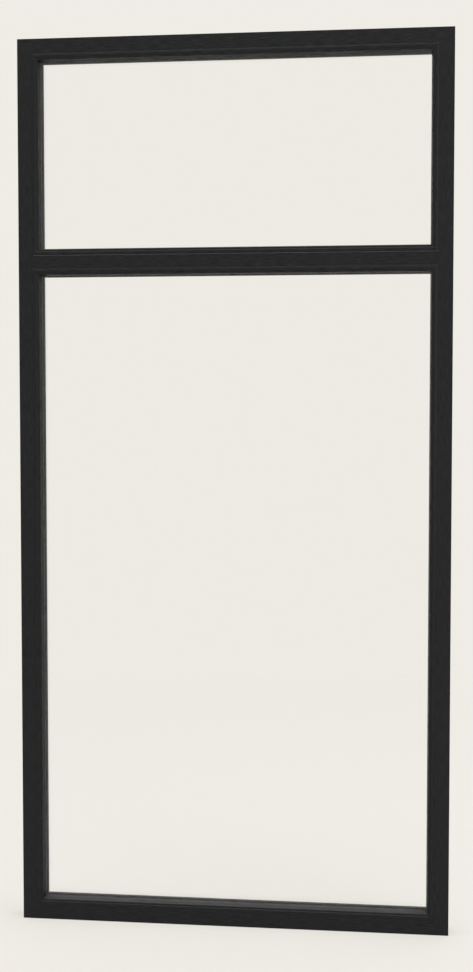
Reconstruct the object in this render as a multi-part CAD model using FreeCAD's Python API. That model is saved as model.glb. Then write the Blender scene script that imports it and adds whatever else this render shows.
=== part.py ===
import FreeCAD
import Part
import math
import os

# Fixed picture window: a tall fixed light under a short one, in a welded frame of hollow
# extrusions with a welded transom, rounded glazing beads on the room side and sealed double
# glazing.  Millimetres; +X to the right seen from the room, +Y out to the weather, +Z up.
# The origin is the middle of the sill's underside, half way through the frame's depth.
# A section is drawn in (u, w): u runs from the outer edge into the opening, w from the room
# face to the weather face.

# Overall sizes
WIDTH = 1200.0
HEIGHT = 2470.0
DEPTH = 70.0
TRANSOM_LEVEL = 1857.0  # centre line of the transom above the sill's underside

# Frame and transom extrusion
FACE = 41.0  # flat room face, from the outer edge to the glazing rebate
TRANSOM_FACE = 37.0  # flat room face of the transom, between its two rebates
LIP_RISE = 20.5  # weather lip above the rebate base
LIP_THICKNESS = 16.0
LIP_LAND = 3.0  # flat top of the lip beside the glass
LIP_FALL = 4.5  # how far the lip's weather side slopes back from the sight edge
WALL = 2.8
FRONT_WEB = 12.0  # middle of the web behind the room face
REAR_WEB = 51.0  # middle of the web beside the weather chamber
ARRIS = 0.6  # rounding of the outer arrises
FINE_ARRIS = 0.4
CHAMBER_ROUND = 1.5

# Grooves of the extrusion
BEAD_GROOVE_START = 5.5  # from the room face
BEAD_GROOVE_WIDTH = 4.0
BEAD_GROOVE_DEPTH = 4.0
SEAL_GROOVE_START = 8.0  # from the rebate base
SEAL_GROOVE_WIDTH = 3.0
SEAL_GROOVE_DEPTH = 2.5
EDGE_GROOVE_INSET = 13.0  # from the room and weather faces, on the outer edge
EDGE_GROOVE_WIDTH = 5.0
EDGE_GROOVE_DEPTH = 3.0

# Sealed glazing unit
PANE = 4.0
CAVITY = 20.0
GLASS_EDGE_GAP = 5.0  # between the rebate base and the edge of the glass
EDGE_SEAL_DEPTH = 4.5
SPACER_HEIGHT = 7.0

# Gaskets
BEAD_SEAL = 3.0  # thickness between bead and glass
LIP_SEAL = 3.5  # thickness between glass and lip
SEAL_FOOT = 7.5  # where a gasket starts, above the rebate base
SEAL_SETBACK = 1.0  # the gaskets' sight edge below the lip's
SEAL_ROUND = 1.2

# Glazing bead
NOSE_RISE = 2.2  # the rounded nose stands this far proud of the room face
NOSE_CLIMB = 6.8  # from the frame's side to the nose's crest
NOSE_FALL = 4.6  # from the crest to the flat strip
NOSE_STRIP = 5.0  # flat strip between the nose and the bead's inner side
NOSE_ROOT = 0.2  # the nose and the strip start this far behind the room face
BEAD_JOINT = 0.15  # between the frame's arris and the bead
BEAD_SETBACK = 1.0  # top of the bead at the glass below the lip's sight edge
BEAD_FOOT = 7.0  # length of the foot behind the clip
BEAD_FOOT_RISE = 4.0
BEAD_WALL = 2.2
CLIP_CLEARANCE = 0.3

# Setting blocks under each sealed unit
BLOCK_LENGTH = 100.0
BLOCK_INSET = 200.0  # from the edge of the glass to the middle of a block

# Fixing holes through the jambs
FIXING_RADIUS = 4.0
FIXING_END = 180.0  # from the head and the sill
FIXING_STEP = 700.0  # between the two middle holes

# Drain slots and their caps on the weather side
DRAIN_LENGTH = 30.0
DRAIN_HEIGHT = 5.0
DRAIN_INSET = 190.0  # from the jambs' outer edge to the middle of a slot
DRAIN_LEVEL = 18.0  # above the outer edge of the sill
TRANSOM_DRAIN_DROP = 10.0  # below the centre line of the transom
CAP_MARGIN = 7.0
CAP_THICKNESS = 3.0
CAP_ROUND = 3.0
CAP_CLEARANCE = 0.2

# Places worked out from the sizes above
HALF_WIDTH = WIDTH / 2.0
ROOM_FACE = -DEPTH / 2.0
LIP_TOP = FACE + LIP_RISE
LIP_FRONT = DEPTH - LIP_THICKNESS
UNIT_BACK = LIP_FRONT - LIP_SEAL
UNIT_FRONT = UNIT_BACK - 2.0 * PANE - CAVITY
BEAD_BACK = UNIT_FRONT - BEAD_SEAL
TRANSOM_SHIFT = FACE - TRANSOM_FACE / 2.0  # u on the frame's section at the transom's middle
MITRE_REACH = LIP_TOP + 10.0


def vec(x, y, z=0.0):
    """A point or direction."""
    return FreeCAD.Vector(x, y, z)


def rounded_wire(corners):
    """Closed outline through (u, w, radius) corners, each rounded by its own arc."""
    count = len(corners)
    starts = []
    edges = []
    for index, (u, w, radius) in enumerate(corners):
        here = vec(u, w)
        before = vec(*corners[index - 1][:2]) - here
        after = vec(*corners[(index + 1) % count][:2]) - here
        if radius == 0.0:
            starts.append((here, here, None))
            continue
        half = before.getAngle(after) / 2.0
        run = radius / math.tan(half)
        before.normalize()
        after.normalize()
        middle = before + after
        middle.normalize()
        near = here + middle * (radius / math.sin(half) - radius)
        starts.append((here + before * run, here + after * run, near))
    for index, (first, last, near) in enumerate(starts):
        if near is not None:
            edges.append(Part.Arc(first, near, last).toShape())
        following = starts[(index + 1) % count][0]
        if (following - last).Length > 1e-6:
            edges.append(Part.LineSegment(last, following).toShape())
    return Part.Wire(edges)


def box_corners(u0, w0, u1, w1, radius=0.0):
    """Corners of a rectangle in the section's plane."""
    return [(u0, w0, radius), (u1, w0, radius), (u1, w1, radius), (u0, w1, radius)]


def notch(line, start, width, depth):
    """Four corners of a groove that opens at u = line and goes towards smaller u."""
    return [
        (line, start, 0.0),
        (line - depth, start, 0.0),
        (line - depth, start + width, 0.0),
        (line, start + width, 0.0),
    ]


def rebate_corners(shift):
    """Corners from the room face over the rebate and the lip to the weather face."""
    face = FACE - shift
    lip = LIP_TOP - shift
    groove = face + SEAL_GROOVE_START
    seal_groove = [
        (groove, LIP_FRONT, 0.0),
        (groove, LIP_FRONT + SEAL_GROOVE_DEPTH, 0.0),
        (groove + SEAL_GROOVE_WIDTH, LIP_FRONT + SEAL_GROOVE_DEPTH, 0.0),
        (groove + SEAL_GROOVE_WIDTH, LIP_FRONT, 0.0),
    ]
    return [
        (face, 0.0, FINE_ARRIS),
        *notch(face, BEAD_GROOVE_START, BEAD_GROOVE_WIDTH, BEAD_GROOVE_DEPTH),
        (face, LIP_FRONT, 0.0),
        *seal_groove,
        (lip, LIP_FRONT, FINE_ARRIS),
        (lip, LIP_FRONT + LIP_LAND, FINE_ARRIS),
        (lip - LIP_FALL, DEPTH, ARRIS),
    ]


def chamber_tops(shift):
    """For each chamber: its end towards the opening and its two sides across the depth."""
    lip_side = LIP_FRONT + SEAL_GROOVE_DEPTH + WALL
    return [
        (FACE - BEAD_GROOVE_DEPTH - WALL - shift, WALL, FRONT_WEB - WALL / 2.0),
        (FACE - WALL - shift, FRONT_WEB + WALL / 2.0, REAR_WEB - WALL / 2.0),
        (LIP_TOP - LIP_FALL - WALL - shift, lip_side, DEPTH - WALL),
    ]


def section(outline, chambers):
    """Face of an extrusion with its hollow chambers."""
    wires = [rounded_wire(outline)]
    wires += [rounded_wire(box_corners(*box, CHAMBER_ROUND)) for box in chambers]
    return Part.makeFace(wires, "Part::FaceMakerBullseye")


def frame_section():
    """Section of the head, the sill and the jambs."""
    groove_depth = EDGE_GROOVE_DEPTH
    outer_edge = []
    for start in (DEPTH - EDGE_GROOVE_INSET - EDGE_GROOVE_WIDTH, EDGE_GROOVE_INSET):
        groove = notch(0.0, start, EDGE_GROOVE_WIDTH, -groove_depth)
        outer_edge += reversed(groove)
    outline = [
        (0.0, 0.0, ARRIS),
        *rebate_corners(0.0),
        (0.0, DEPTH, ARRIS),
        *outer_edge,
    ]
    floors = (WALL, groove_depth + WALL, groove_depth + WALL)
    chambers = [
        (floor, start, top, end)
        for floor, (top, start, end) in zip(floors, chamber_tops(0.0))
    ]
    return section(outline, chambers)


def transom_section():
    """Section of the transom: the frame's rebate and lip on both sides of its middle."""
    side = rebate_corners(TRANSOM_SHIFT)
    mirrored = [(-u, w, radius) for u, w, radius in reversed(side)]
    chambers = [(-top, start, top, end) for top, start, end in chamber_tops(TRANSOM_SHIFT)]
    return section(side + mirrored, chambers)


def nose_corner(crest, span):
    """Corner whose rounding is the arc over a span up to the nose's crest, and level there."""
    rise = NOSE_RISE + NOSE_ROOT
    square = span**2 + rise**2
    return (crest - square / (2.0 * span), -NOSE_RISE, square / (2.0 * rise))


def bead_section():
    """Section of a glazing bead: rounded nose, flat strip, inner side, foot and clip."""
    start = FACE + BEAD_JOINT
    crest = start + NOSE_CLIMB
    strip = crest + NOSE_FALL
    strip_end = strip + NOSE_STRIP
    top = LIP_TOP - BEAD_SETBACK
    clip_start = BEAD_GROOVE_START + CLIP_CLEARANCE
    clip_end = BEAD_GROOVE_START + BEAD_GROOVE_WIDTH - CLIP_CLEARANCE
    clip_tip = FACE - BEAD_GROOVE_DEPTH + CLIP_CLEARANCE
    outline = [
        (start, NOSE_ROOT, 0.0),
        nose_corner(crest, NOSE_CLIMB),
        nose_corner(crest, -NOSE_FALL),
        (strip, NOSE_ROOT, 0.0),
        (strip_end, NOSE_ROOT, FINE_ARRIS),
        (top, BEAD_BACK, 0.0),
        (FACE + BEAD_FOOT_RISE, BEAD_BACK, 0.0),
        (FACE + BEAD_FOOT_RISE, clip_end + BEAD_FOOT, 0.0),
        (FACE, clip_end + BEAD_FOOT, 0.0),
        (FACE, clip_end, 0.0),
        (clip_tip, clip_end, 0.0),
        (clip_tip, clip_start, 0.0),
        (FACE, clip_start, 0.0),
        (FACE, NOSE_ROOT + FINE_ARRIS, 0.0),
    ]
    hollow_floor = FACE + BEAD_FOOT_RISE + BEAD_WALL
    hollow_front = NOSE_ROOT + BEAD_WALL
    hollow = [
        (hollow_floor, hollow_front, FINE_ARRIS),
        (strip_end - BEAD_WALL, hollow_front, FINE_ARRIS),
        (top - BEAD_WALL, BEAD_BACK - BEAD_WALL, FINE_ARRIS),
        (hollow_floor, BEAD_BACK - BEAD_WALL, FINE_ARRIS),
    ]
    return Part.makeFace([rounded_wire(outline), rounded_wire(hollow)], "Part::FaceMakerBullseye")


def bead_seal_section():
    """Section of the gasket between a bead and the glass."""
    edge = LIP_TOP - SEAL_SETBACK
    corners = box_corners(FACE + SEAL_FOOT, BEAD_BACK, edge, UNIT_FRONT)
    corners[1] = (edge, BEAD_BACK, SEAL_ROUND)
    return section(corners, [])


def lip_seal_section():
    """Section of the gasket between the glass and the lip, with its foot in the lip's groove."""
    edge = LIP_TOP - SEAL_SETBACK
    groove = FACE + SEAL_GROOVE_START
    foot = LIP_FRONT + SEAL_GROOVE_DEPTH - CLIP_CLEARANCE
    corners = [
        (FACE + SEAL_FOOT, UNIT_BACK, 0.0),
        (edge, UNIT_BACK, 0.0),
        (edge, LIP_FRONT, SEAL_ROUND),
        (groove + SEAL_GROOVE_WIDTH - CLIP_CLEARANCE, LIP_FRONT, 0.0),
        (groove + SEAL_GROOVE_WIDTH - CLIP_CLEARANCE, foot, 0.0),
        (groove + CLIP_CLEARANCE, foot, 0.0),
        (groove + CLIP_CLEARANCE, LIP_FRONT, 0.0),
        (FACE + SEAL_FOOT, LIP_FRONT, 0.0),
    ]
    return section(corners, [])


def cavity_section(start, height):
    """Section of a strip that fills the cavity between the panes."""
    front = UNIT_FRONT + PANE
    return section(box_corners(start, front, start + height, front + CAVITY), [])


class Opening:
    """An upright rectangle that sections are carried round, at the frame's outer edge (u = 0)."""

    def __init__(self, bottom, top):
        self.bottom = bottom
        self.top = top

    def bars(self, face):
        """Four mitred bars of one section: left, head, right and sill, in that order."""
        height = self.top - self.bottom
        starts = [
            (vec(-HALF_WIDTH, ROOM_FACE, self.bottom), height),
            (vec(-HALF_WIDTH, ROOM_FACE, self.top), WIDTH),
            (vec(HALF_WIDTH, ROOM_FACE, self.top), height),
            (vec(HALF_WIDTH, ROOM_FACE, self.bottom), WIDTH),
        ]
        bars = []
        for quarter, (corner, length) in enumerate(starts):
            bar = mitred_bar(face, length)
            turn = FreeCAD.Rotation(vec(0.0, 1.0), 90.0 * quarter)
            bar.Placement = FreeCAD.Placement(corner, turn)
            bars.append(bar)
        return bars

    def ring(self, face):
        """The same four bars as one closed ring."""
        bars = self.bars(face)
        return bars[0].fuse(bars[1:]).removeSplitter()


def mitred_bar(face, length):
    """A section extruded along +Z, with both ends cut at 45 degrees across u."""
    low = -MITRE_REACH
    bar = face.extrude(vec(0.0, 0.0, length + 2.0 * MITRE_REACH))
    bar.translate(vec(0.0, 0.0, -MITRE_REACH))
    corners = [
        vec(low, -DEPTH, low),
        vec(MITRE_REACH, -DEPTH, MITRE_REACH),
        vec(MITRE_REACH, -DEPTH, length - MITRE_REACH),
        vec(low, -DEPTH, length - low),
    ]
    trimmer = Part.Face(Part.makePolygon(corners + corners[:1]))
    return bar.common(trimmer.extrude(vec(0.0, 3.0 * DEPTH))).Solids[0]


def upright_prism(points):
    """A prism through the whole depth over an outline of (x, z) points."""
    corners = [vec(x, -2.0 * DEPTH, z) for x, z in points]
    outline = Part.makePolygon(corners + corners[:1])
    return Part.Face(outline).extrude(vec(0.0, 4.0 * DEPTH))


def transom_notch(side):
    """The 90 degree notch that the transom's pointed end fills in a jamb (side -1 or +1)."""
    tip = side * (HALF_WIDTH - TRANSOM_SHIFT)
    back = tip - side * MITRE_REACH
    return upright_prism(
        [
            (tip, TRANSOM_LEVEL),
            (back, TRANSOM_LEVEL + MITRE_REACH),
            (back, TRANSOM_LEVEL - MITRE_REACH),
        ]
    )


def transom():
    """The transom: its section carried across, with pointed ends welded into the jambs."""
    reach = HALF_WIDTH - TRANSOM_SHIFT
    bar = transom_section().extrude(vec(0.0, 0.0, 2.0 * reach))
    turn = FreeCAD.Rotation(vec(0.0, 1.0), 90.0)
    bar.Placement = FreeCAD.Placement(vec(-reach, ROOM_FACE, TRANSOM_LEVEL), turn)
    points = [
        (-reach, TRANSOM_LEVEL),
        (-reach + MITRE_REACH, TRANSOM_LEVEL + MITRE_REACH),
        (reach - MITRE_REACH, TRANSOM_LEVEL + MITRE_REACH),
        (reach, TRANSOM_LEVEL),
        (reach - MITRE_REACH, TRANSOM_LEVEL - MITRE_REACH),
        (-reach + MITRE_REACH, TRANSOM_LEVEL - MITRE_REACH),
    ]
    return bar.common(upright_prism(points)).Solids[0]


def fixing_holes(side):
    """Holes for the frame screws through one jamb, in the middle of its depth."""
    middle = HEIGHT / 2.0
    levels = (
        FIXING_END,
        middle - FIXING_STEP / 2.0,
        middle + FIXING_STEP / 2.0,
        HEIGHT - FIXING_END,
    )
    start = side * HALF_WIDTH
    inward = vec(-side, 0.0)
    return [
        Part.makeCylinder(FIXING_RADIUS, FACE, vec(start, 0.0, level), inward)
        for level in levels
    ]


def drain_places(level):
    """Middles of the two drain slots of one rail, on the weather face."""
    reach = HALF_WIDTH - DRAIN_INSET
    return [vec(x, ROOM_FACE + DEPTH, level) for x in (-reach, reach)]


def drain_slot(place, clearance=0.0):
    """The slot through the weather wall, or with a clearance the spigot that sits in it."""
    length = DRAIN_LENGTH - 2.0 * clearance
    height = DRAIN_HEIGHT - 2.0 * clearance
    corner = place - vec(length / 2.0, WALL, height / 2.0)
    return Part.makeBox(length, WALL, height, corner)


def drain_cap(place):
    """A rounded cap over a drain slot, with a spigot in the slot."""
    length = DRAIN_LENGTH + 2.0 * CAP_MARGIN
    height = DRAIN_HEIGHT + 2.0 * CAP_MARGIN
    outline = box_corners(-length / 2.0, -height / 2.0, length / 2.0, height / 2.0, CAP_ROUND)
    cap = Part.Face(rounded_wire(outline)).extrude(vec(0.0, 0.0, -CAP_THICKNESS))
    turn = FreeCAD.Rotation(vec(1.0, 0.0), 90.0)
    cap.Placement = FreeCAD.Placement(place, turn)
    return cap.fuse(drain_slot(place, CAP_CLEARANCE)).removeSplitter()


def pane(light, front):
    """One sheet of glass of a light, its room side at w = front."""
    inset = FACE + GLASS_EDGE_GAP
    corner = vec(-HALF_WIDTH + inset, ROOM_FACE + front, light.bottom + inset)
    return Part.makeBox(
        WIDTH - 2.0 * inset, PANE, light.top - light.bottom - 2.0 * inset, corner
    )


def setting_blocks(light):
    """The two blocks that carry a sealed unit on the rebate below it."""
    reach = HALF_WIDTH - FACE - GLASS_EDGE_GAP - BLOCK_INSET
    blocks = [
        Part.makeBox(
            BLOCK_LENGTH,
            UNIT_BACK - UNIT_FRONT,
            GLASS_EDGE_GAP,
            vec(x - BLOCK_LENGTH / 2.0, ROOM_FACE + UNIT_FRONT, light.bottom + FACE),
        )
        for x in (-reach, reach)
    ]
    return Part.makeCompound(blocks)


def frame_pieces():
    """The welded frame: head, sill, two jambs and the transom."""
    left, head, right, sill = Opening(0.0, HEIGHT).bars(frame_section())
    sill = sill.cut([drain_slot(place) for place in drain_places(DRAIN_LEVEL)])
    drains = [drain_slot(place) for place in drain_places(TRANSOM_LEVEL - TRANSOM_DRAIN_DROP)]
    return {
        "head": head,
        "sill": sill,
        "left_jamb": left.cut([transom_notch(-1), *fixing_holes(-1)]),
        "right_jamb": right.cut([transom_notch(1), *fixing_holes(1)]),
        "transom": transom().cut(drains),
    }


def drain_caps():
    """Caps over the drain slots of the sill and of the transom."""
    levels = {"sill": DRAIN_LEVEL, "transom": TRANSOM_LEVEL - TRANSOM_DRAIN_DROP}
    return {
        f"{rail}_drain_caps": Part.makeCompound([drain_cap(p) for p in drain_places(level)])
        for rail, level in levels.items()
    }


def light_pieces(name, light):
    """Everything glazed into one light: beads, gaskets, the sealed unit and its blocks."""
    sides = ("left", "top", "right", "bottom")
    beads = light.bars(bead_section())
    pieces = {f"{name}_{side}_bead": bead for side, bead in zip(sides, beads)}
    glass_edge = FACE + GLASS_EDGE_GAP
    spacer_start = glass_edge + EDGE_SEAL_DEPTH
    pieces[f"{name}_bead_gasket"] = light.ring(bead_seal_section())
    pieces[f"{name}_lip_gasket"] = light.ring(lip_seal_section())
    pieces[f"{name}_room_pane"] = pane(light, UNIT_FRONT)
    pieces[f"{name}_weather_pane"] = pane(light, UNIT_BACK - PANE)
    pieces[f"{name}_edge_seal"] = light.ring(cavity_section(glass_edge, EDGE_SEAL_DEPTH))
    pieces[f"{name}_spacer"] = light.ring(cavity_section(spacer_start, SPACER_HEIGHT))
    pieces[f"{name}_setting_blocks"] = setting_blocks(light)
    return pieces


def main():
    """Build every piece and write it out."""
    pieces = frame_pieces()
    pieces.update(drain_caps())
    pieces.update(light_pieces("upper", Opening(TRANSOM_LEVEL - TRANSOM_SHIFT, HEIGHT)))
    pieces.update(light_pieces("lower", Opening(0.0, TRANSOM_LEVEL + TRANSOM_SHIFT)))
    os.makedirs("parts", exist_ok=True)
    for name, shape in pieces.items():
        shape.exportStep(f"parts/{name}.step")


main()
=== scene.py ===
"""The looks of a fixed picture window: black foil on a welded frame, with two clear sealed lights.

Sections are drawn in millimetres as (u, w): u runs from the outer edge of a frame into its
opening, and w from the room face to the weather face.  A bar adds t, the distance along it.
Meshes are made in metres in the row's frame: +X to the right seen from the room, +Y out to the
weather, +Z up, with the origin under the middle of the sill.
"""

import logging
import math
from collections.abc import Sequence
from dataclasses import dataclass, replace
from enum import Enum

import bpy
import numpy as np
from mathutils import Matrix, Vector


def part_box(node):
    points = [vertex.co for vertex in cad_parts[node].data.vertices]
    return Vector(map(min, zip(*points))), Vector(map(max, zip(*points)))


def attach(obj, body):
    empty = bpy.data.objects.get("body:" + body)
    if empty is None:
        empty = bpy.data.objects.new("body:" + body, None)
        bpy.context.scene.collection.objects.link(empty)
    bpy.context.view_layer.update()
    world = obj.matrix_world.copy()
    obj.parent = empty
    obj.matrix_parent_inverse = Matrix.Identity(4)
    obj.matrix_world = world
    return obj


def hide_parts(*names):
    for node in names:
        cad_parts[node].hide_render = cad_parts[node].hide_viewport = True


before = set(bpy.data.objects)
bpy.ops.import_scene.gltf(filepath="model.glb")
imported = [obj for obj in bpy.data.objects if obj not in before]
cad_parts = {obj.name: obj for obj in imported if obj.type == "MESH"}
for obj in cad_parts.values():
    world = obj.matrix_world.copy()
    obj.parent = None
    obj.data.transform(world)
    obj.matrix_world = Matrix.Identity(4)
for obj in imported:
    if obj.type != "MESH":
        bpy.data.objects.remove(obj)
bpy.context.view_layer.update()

Array = np.ndarray
Material = bpy.types.Material
Node = bpy.types.Node
Socket = bpy.types.NodeSocket
Tree = bpy.types.NodeTree
Colour = tuple[float, float, float]
Point = tuple[float, float, float]
Place = tuple[float, float]  # (u, w) on a section
Corner = tuple[float, float, float]  # (u, w, radius) on a section

LOG = logging.getLogger("picture_window")
MM = 0.001
BODY = "root"
GRAIN_MAP = "along_and_around"
ARRIS_MAP = "arris"
EASED, PAINTED_HIGHLIGHT = 1.0, 2.0  # values on that map: a rounded edge, and one with a painted highlight
CLOSE = 1e-6


# Sections and the surfaces that carry them


class Side(Enum):
    """A side of an opening, in the order in which a bar runs round it."""

    LEFT = "left"
    TOP = "top"
    RIGHT = "right"
    BOTTOM = "bottom"

    @property
    def inward(self) -> Array:
        """Direction from this side's outer edge into the opening."""
        x = {Side.LEFT: 1.0, Side.RIGHT: -1.0}.get(self, 0.0)
        z = {Side.BOTTOM: 1.0, Side.TOP: -1.0}.get(self, 0.0)
        return np.array((x, 0.0, z))

    @property
    def along(self) -> Array:
        """Direction in which this side's bar runs."""
        return np.cross(self.inward, (0.0, 1.0, 0.0))

    @property
    def upright(self) -> bool:
        """Whether the bar stands upright."""
        return self in (Side.LEFT, Side.RIGHT)


def unit(vectors: Array) -> Array:
    """Scale vectors in the last axis to length 1, and leave those of no length."""
    length = np.linalg.norm(vectors, axis=-1, keepdims=True)
    return vectors / np.where(length > CLOSE, length, 1.0)


def in_one_run(chosen: Array) -> Array:
    """Numbers of the chosen points of a closed outline, from the first after a gap."""
    first = np.flatnonzero(chosen & ~np.roll(chosen, 1))[0]
    return (np.flatnonzero(np.roll(chosen, -first)) + first) % len(chosen)


def cells(rows: Array, following: Array | None = None) -> Array:
    """Values at each grid cell's corners; a row closes on itself unless what follows is given."""
    after = np.roll(rows, -1, axis=1) if following is None else following
    return np.stack([rows[:-1], after[:-1], after[1:], rows[1:]], axis=2)


def groove(start: Place, end: Place, reach: Place) -> list[Corner]:
    """Square corners of a groove or ridge: start, start and end moved by reach, and end."""
    moved = [(u + reach[0], w + reach[1], 0.0) for u, w in (start, end)]
    return [(*start, 0.0), *moved, (*end, 0.0)]


@dataclass(frozen=True)
class Outline:
    """A closed section outline, counter-clockwise in (u, w).

    Edge k goes from point k to point k + 1 and has a normal at each of its two ends, so that a
    rounding is shaded smoothly and the flat beside it stays flat.
    """

    points: Array
    first_normals: Array
    last_normals: Array
    arris: Array

    @classmethod
    def rounded(cls, corners: Sequence[Corner], steps: int) -> "Outline":
        """Round every corner of a polygon by its own arc.

        The arc of a corner touches both of its edges, so its centre lies on the bisector at
        radius / sin(half the angle), and its points turn about that centre in equal steps.  An
        arc that starts where the one before it ends shares that point and is shaded on with it.

        Args:
            corners: The corners, counter-clockwise.
            steps: Pieces in each arc.

        Returns:
            The outline, with one point for each corner that has no radius.
        """
        table = np.array(corners, float)
        here, radius = table[:, :2], table[:, 2]
        back = unit(np.roll(here, 1, axis=0) - here)
        ahead = unit(np.roll(here, -1, axis=0) - here)
        half = np.arccos(np.clip((back * ahead).sum(axis=1), -1.0, 1.0)) / 2.0
        turn = np.sign(back[:, 1] * ahead[:, 0] - back[:, 0] * ahead[:, 1])
        centre = here + unit(back + ahead) * (radius / np.sin(half))[:, None]
        start = here + back * (radius / np.tan(half))[:, None] - centre
        angle = (turn * (math.pi - 2.0 * half))[:, None] * np.linspace(0.0, 1.0, steps + 1)
        u, w, cos, sin = start[:, :1], start[:, 1:], np.cos(angle), np.sin(angle)
        spoke = np.stack([u * cos - w * sin, u * sin + w * cos], axis=-1)
        around = centre[:, None] + spoke
        curved = radius > 0.0
        gap = np.linalg.norm(around[:, 0] - np.roll(around[:, -1], 1, axis=0), axis=1)
        touching = curved & np.roll(curved, 1) & (gap < CLOSE)
        run = np.maximum.accumulate(np.where(touching, 0, np.arange(len(table))))
        shown = np.where(np.arange(steps + 1) == 0, ~touching[:, None], curved[:, None])
        points = around[shown]
        radial = unit(spoke * turn[:, None, None])[shown]
        arc = np.where(curved, run, -1)[:, None].repeat(steps + 1, 1)[shown]
        apart = np.linalg.norm(points - np.roll(points, 1, axis=0), axis=1) > CLOSE
        kept = (arc >= 0) | (apart & np.roll(apart, -1))
        return cls.through(points[kept], radial[kept], arc[kept])

    @classmethod
    def through(cls, points: Array, radial: Array, arc: Array) -> "Outline":
        """Make the outline through points, of which those on one arc share a number.

        Args:
            points: (n, 2) points in order.
            radial: (n, 2) normals to use along an arc.
            arc: (n,) number of the arc that a point is on, or -1.

        Returns:
            The outline, with an edge's own normal wherever it isn't part of an arc.
        """
        step = np.roll(points, -1, axis=0) - points
        square = unit(np.stack([step[:, 1], -step[:, 0]], axis=1))
        curved = (arc == np.roll(arc, -1)) & (arc >= 0)
        first = np.where(curved[:, None], radial, square)
        last = np.where(curved[:, None], np.roll(radial, -1, axis=0), square)
        return cls(points, first, last, EASED * curved)

    @property
    def point_normals(self) -> Array:
        """Mean direction out of the outline at each point."""
        return unit(self.first_normals + np.roll(self.last_normals, 1, axis=0))

    @property
    def around(self) -> Array:
        """Distance round the outline of each point, with the whole length as its last value."""
        lengths = np.linalg.norm(np.roll(self.points, -1, axis=0) - self.points, axis=1)
        return np.concatenate([[0.0], np.cumsum(lengths)])


@dataclass(frozen=True)
class Station:
    """A cut through a bar, plane or folded, where its section stands.

    The cut is at t = base + slope * max(|u| - fold, 0).  A slope of 1 or -1 makes a mitre, and a
    fold makes a pointed cut that only starts that far from the outer edge.
    """

    base: float
    slope: float = 0.0
    fold: float = 0.0
    drawn_in: float = 0.0

    FADE = 2.0  # length over which a weld line starts at the fold

    def inset(self, u: Array) -> Array:
        """How far the section is drawn in at u, for a weld line or a bead's eased end."""
        return self.drawn_in * np.clip((np.abs(u) - self.fold) / self.FADE, 0.0, 1.0)

    def along(self, u: Array) -> Array:
        """Distance along the bar at u."""
        return self.base + self.slope * np.maximum(np.abs(u) - self.fold, 0.0)


def mitre_stations(length: float, joint: float, depth: float) -> tuple[Station, ...]:
    """Stations of a bar with two mitred ends, each drawn in by depth over the joint's width."""
    return (
        Station(0.0, 1.0, drawn_in=depth),
        Station(joint, 1.0),
        Station(length - joint, -1.0),
        Station(length, -1.0, drawn_in=depth),
    )


@dataclass(frozen=True)
class Faces:
    """Faces as flat arrays, one entry for each corner of each face, in order."""

    corners: Array
    counts: Array
    normals: Array
    uv: Array
    arris: Array

    @classmethod
    def joined(cls, parts: Sequence["Faces"]) -> "Faces":
        """Put several sets of faces over the same points into one."""
        names = ("corners", "counts", "normals", "uv", "arris")
        return cls(*(np.concatenate([getattr(part, name) for part in parts]) for name in names))

    @classmethod
    def polygon(cls, points: Array, index: Array) -> "Faces":
        """One flat face with many corners, as a cut end has.

        Its normal is the sum of the cross products of its neighbouring corners.

        Args:
            points: (v, 3) points of the surface.
            index: The face's corners, counter-clockwise seen from outside.

        Returns:
            The face.
        """
        count = len(index)
        ring = points[index] - points[index[0]]
        normal = unit(np.cross(ring, np.roll(ring, -1, axis=0)).sum(axis=0))
        uv = points[index][:, :2] * MM
        return cls(index, np.array([count]), np.tile(normal, (count, 1)), uv, np.zeros(count))

    @classmethod
    def quads(cls, ring: Array, normals: Array, uv: Array, arris: float | Array = 0.0) -> "Faces":
        """Four-cornered faces.

        Args:
            ring: (n, 4) corners of the faces, counter-clockwise seen from outside.
            normals: (n, 4, 3) normals at them.
            uv: (n, 4, 2) places on the map, in millimetres.
            arris: Each face's value on the map of edges.

        Returns:
            The faces.
        """
        count = len(ring)
        return cls(
            ring.ravel(),
            np.full(count, 4),
            normals.reshape(-1, 3),
            uv.reshape(-1, 2) * MM,
            np.repeat(np.broadcast_to(arris, count), 4),
        )


def linked(name: str, data: bpy.types.ID) -> bpy.types.Object:
    """Make an object of some data and put it into the scene.

    Args:
        name: The object's name.
        data: Its mesh, lamp or camera.

    Returns:
        The object, at the origin.
    """
    made = bpy.data.objects.new(name, data)
    bpy.context.scene.collection.objects.link(made)
    return made


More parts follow.
